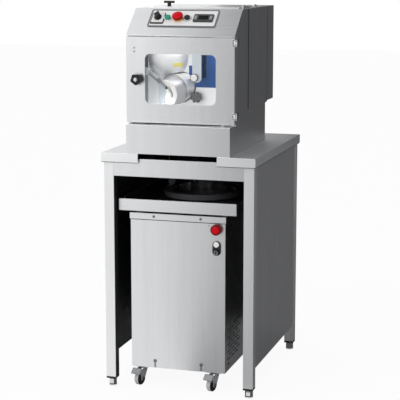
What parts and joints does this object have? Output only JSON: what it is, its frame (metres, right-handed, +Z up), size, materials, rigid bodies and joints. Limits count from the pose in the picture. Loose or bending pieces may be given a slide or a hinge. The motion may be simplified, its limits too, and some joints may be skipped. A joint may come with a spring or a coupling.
{
  "type": "dough divider",
  "caption": "Stainless dough divider: door-fronted head with auger nozzle and swinging knife on a legged table, with a wheeled rounder trolley and bowl below.",
  "frame": {"origin": "on the floor, under the middle of the table", "axes": "+X to the viewer's right, +Y to the rear, +Z up"},
  "size_m": [0.59, 0.73, 1.4526],
  "materials": {
    "stainless": "brushed",
    "polished_steel": "polished",
    "black_plastic": "satin",
    "black_bowl": "matte",
    "clear_pane": "clear",
    "white_plastic": "satin",
    "panel_plate": "satin",
    "green_plastic": "gloss",
    "red_plastic": "gloss",
    "chromed": "bright",
    "grey_plastic": "satin",
    "zinc": "zinc plated",
    "cast_grey": "cast, satin",
    "wheel_grey": "matte"
  },
  "bodies": {
    "stand": {"table_top": "stainless", "legs": "stainless", "leg_plugs": "black_plastic", "stand_panels": "stainless", "plinth": "stainless", "cheeks": "stainless", "fascia": "stainless", "top_cover": "stainless", "rear_hood": "stainless", "bulkhead": "polished_steel", "drop_chute": "polished_steel", "hopper": "polished_steel", "barrel": "polished_steel", "nozzle": "white_plastic", "auger_motor": "cast_grey", "knife_motor": "cast_grey", "hinge_leaves": "chromed", "control_panel": "panel_plate", "control_rings": "chromed", "controller": "black_plastic"},
    "door": {"door_panel": "stainless", "window_pane": "clear_pane", "door_knuckles": "chromed"},
    "door_knob": {"star_knob": "black_plastic"},
    "hopper_lid": {"lid": "stainless", "t_handle": "black_plastic"},
    "selector": {"switch_knob": "black_plastic"},
    "start": {"start_button": "green_plastic"},
    "emergency_stop": {"stop_head": "red_plastic"},
    "reset": {"reset_button": "black_plastic"},
    "left_key": {"key_left": "grey_plastic"},
    "right_key": {"key_right": "grey_plastic"},
    "auger": {"auger_shaft": "polished_steel", "auger_flight": "polished_steel"},
    "cutter": {"knife": "polished_steel"},
    "clamp": {"clamp_arm": "stainless"},
    "clamp_knob": {"nozzle_knob": "grey_plastic"},
    "trolley": {"chassis": "stainless", "cabinet_shell": "stainless", "front_cover": "stainless", "tray": "stainless", "vane": "polished_steel", "bowl_motor": "cast_grey", "trolley_rings": "black_plastic"},
    "rounding_bowl": {"bowl": "black_bowl"},
    "trolley_stop": {"trolley_stop_head": "red_plastic"},
    "trolley_on": {"trolley_start": "white_plastic"},
    "trolley_off": {"trolley_reset": "black_plastic"},
    "front_left_castor": {"fork_left": "zinc"},
    "front_right_castor": {"fork_right": "zinc"},
    "front_left_wheel": {"wheel_front_left": "wheel_grey"},
    "front_right_wheel": {"wheel_front_right": "wheel_grey"},
    "rear_left_wheel": {"wheel_rear_left": "wheel_grey"},
    "rear_right_wheel": {"wheel_rear_right": "wheel_grey"},
    "left_brake": {"pedal_left": "zinc"},
    "right_brake": {"pedal_right": "zinc"},
    "front_left_foot": {"foot_front_left": "zinc"},
    "front_right_foot": {"foot_front_right": "zinc"},
    "rear_left_foot": {"foot_rear_left": "zinc"},
    "rear_right_foot": {"foot_rear_right": "zinc"}
  },
  "joints": [
    {"name": "door_swing", "type": "hinge", "parent": "stand", "child": "door", "pos_m": [0.212, -0.331, 1.178], "axis": [0, 0, 1], "range_deg": [0, 110]},
    {"name": "door_knob_turn", "type": "hinge", "parent": "door", "child": "door_knob", "pos_m": [-0.162, -0.327, 1.172], "axis": [0, 1, 0], "continuous": true},
    {"name": "lid_lift", "type": "hinge", "parent": "stand", "child": "hopper_lid", "pos_m": [0.194, -0.08, 1.4316], "axis": [0, 1, 0], "range_deg": [0, 100]},
    {"name": "selector_turn", "type": "hinge", "parent": "stand", "child": "selector", "pos_m": [-0.104, -0.25778, 1.39008], "axis": [0, -0.6388, 0.7693], "range_deg": [0, 90]},
    {"name": "start_press", "type": "slide", "parent": "stand", "child": "start", "axis": [0, 0.6388, -0.7693], "range_m": [0, 0.003], "stiffness_N_per_m": 300, "springref_m": -0.004},
    {"name": "reset_press", "type": "slide", "parent": "stand", "child": "reset", "axis": [0, 0.6388, -0.7693], "range_m": [0, 0.003], "stiffness_N_per_m": 300, "springref_m": -0.004},
    {"name": "emergency_stop_press", "type": "slide", "parent": "stand", "child": "emergency_stop", "axis": [0, 0.6388, -0.7693], "range_m": [0, 0.005]},
    {"name": "left_key_press", "type": "slide", "parent": "stand", "child": "left_key", "axis": [0, 0.6388, -0.7693], "range_m": [0, 0.0008], "stiffness_N_per_m": 400, "springref_m": -0.001},
    {"name": "right_key_press", "type": "slide", "parent": "stand", "child": "right_key", "axis": [0, 0.6388, -0.7693], "range_m": [0, 0.0008], "stiffness_N_per_m": 400, "springref_m": -0.001},
    {"name": "auger_spin", "type": "hinge", "parent": "stand", "child": "auger", "pos_m": [-0.065, -0.277, 1.12], "axis": [0.4134, 0.8865, 0.2079], "continuous": true},
    {"name": "cutter_swing", "type": "hinge", "parent": "stand", "child": "cutter", "pos_m": [-0.14272, -0.25911, 1.19825], "axis": [0.4134, 0.8865, 0.2079], "range_deg": [-40, 15]},
    {"name": "clamp_swing", "type": "hinge", "parent": "stand", "child": "clamp", "pos_m": [0.042, -0.235, 1.3076], "axis": [0, -1, 0], "range_deg": [0, 30]},
    {"name": "clamp_knob_turn", "type": "hinge", "parent": "stand", "child": "clamp_knob", "pos_m": [0.034, -0.215, 1.101], "axis": [0, 1, 0], "continuous": true},
    {"name": "trolley_roll", "type": "slide", "parent": "stand", "child": "trolley", "axis": [0, -1, 0], "range_m": [0, 0.75]},
    {"name": "bowl_spin", "type": "hinge", "parent": "trolley", "child": "rounding_bowl", "pos_m": [-0.013, 0.008, 0.7], "axis": [0, 0, 1], "continuous": true},
    {"name": "trolley_stop_press", "type": "slide", "parent": "trolley", "child": "trolley_stop", "axis": [0, 1, 0], "range_m": [0, 0.005]},
    {"name": "trolley_on_press", "type": "slide", "parent": "trolley", "child": "trolley_on", "axis": [0, 1, 0], "range_m": [0, 0.003], "stiffness_N_per_m": 300, "springref_m": -0.004},
    {"name": "trolley_off_press", "type": "slide", "parent": "trolley", "child": "trolley_off", "axis": [0, 1, 0], "range_m": [0, 0.003], "stiffness_N_per_m": 300, "springref_m": -0.004},
    {"name": "front_left_swivel", "type": "hinge", "parent": "trolley", "child": "front_left_castor", "pos_m": [-0.164, -0.279, 0.066], "axis": [0, 0, 1], "continuous": true},
    {"name": "front_left_roll", "type": "hinge", "parent": "front_left_castor", "child": "front_left_wheel", "pos_m": [-0.17029, -0.30423, 0.026], "axis": [0.9703, -0.2419, 0], "continuous": true},
    {"name": "left_brake_tilt", "type": "hinge", "parent": "front_left_castor", "child": "left_brake", "pos_m": [-0.17126, -0.30811, 0.057], "axis": [0.9703, -0.2419, 0], "range_deg": [0, 12]},
    {"name": "rear_left_roll", "type": "hinge", "parent": "trolley", "child": "rear_left_wheel", "pos_m": [-0.164, 0.273, 0.026], "axis": [1, 0, 0], "continuous": true},
    {"name": "front_right_swivel", "type": "hinge", "parent": "trolley", "child": "front_right_castor", "pos_m": [0.122, -0.279, 0.066], "axis": [0, 0, 1], "continuous": true},
    {"name": "front_right_roll", "type": "hinge", "parent": "front_right_castor", "child": "front_right_wheel", "pos_m": [0.11571, -0.30423, 0.026], "axis": [0.9703, -0.2419, 0], "continuous": true},
    {"name": "right_brake_tilt", "type": "hinge", "parent": "front_right_castor", "child": "right_brake", "pos_m": [0.11474, -0.30811, 0.057], "axis": [0.9703, -0.2419, 0], "range_deg": [0, 12]},
    {"name": "rear_right_roll", "type": "hinge", "parent": "trolley", "child": "rear_right_wheel", "pos_m": [0.122, 0.273, 0.026], "axis": [1, 0, 0], "continuous": true},
    {"name": "front_left_foot_turn", "type": "hinge", "parent": "stand", "child": "front_left_foot", "pos_m": [-0.269, -0.334, 0.02], "axis": [0, 0, 1], "continuous": true},
    {"name": "rear_left_foot_turn", "type": "hinge", "parent": "stand", "child": "rear_left_foot", "pos_m": [-0.269, 0.334, 0.02], "axis": [0, 0, 1], "continuous": true},
    {"name": "front_right_foot_turn", "type": "hinge", "parent": "stand", "child": "front_right_foot", "pos_m": [0.269, -0.334, 0.02], "axis": [0, 0, 1], "continuous": true},
    {"name": "rear_right_foot_turn", "type": "hinge", "parent": "stand", "child": "rear_right_foot", "pos_m": [0.269, 0.334, 0.02], "axis": [0, 0, 1], "continuous": true}
  ]
}
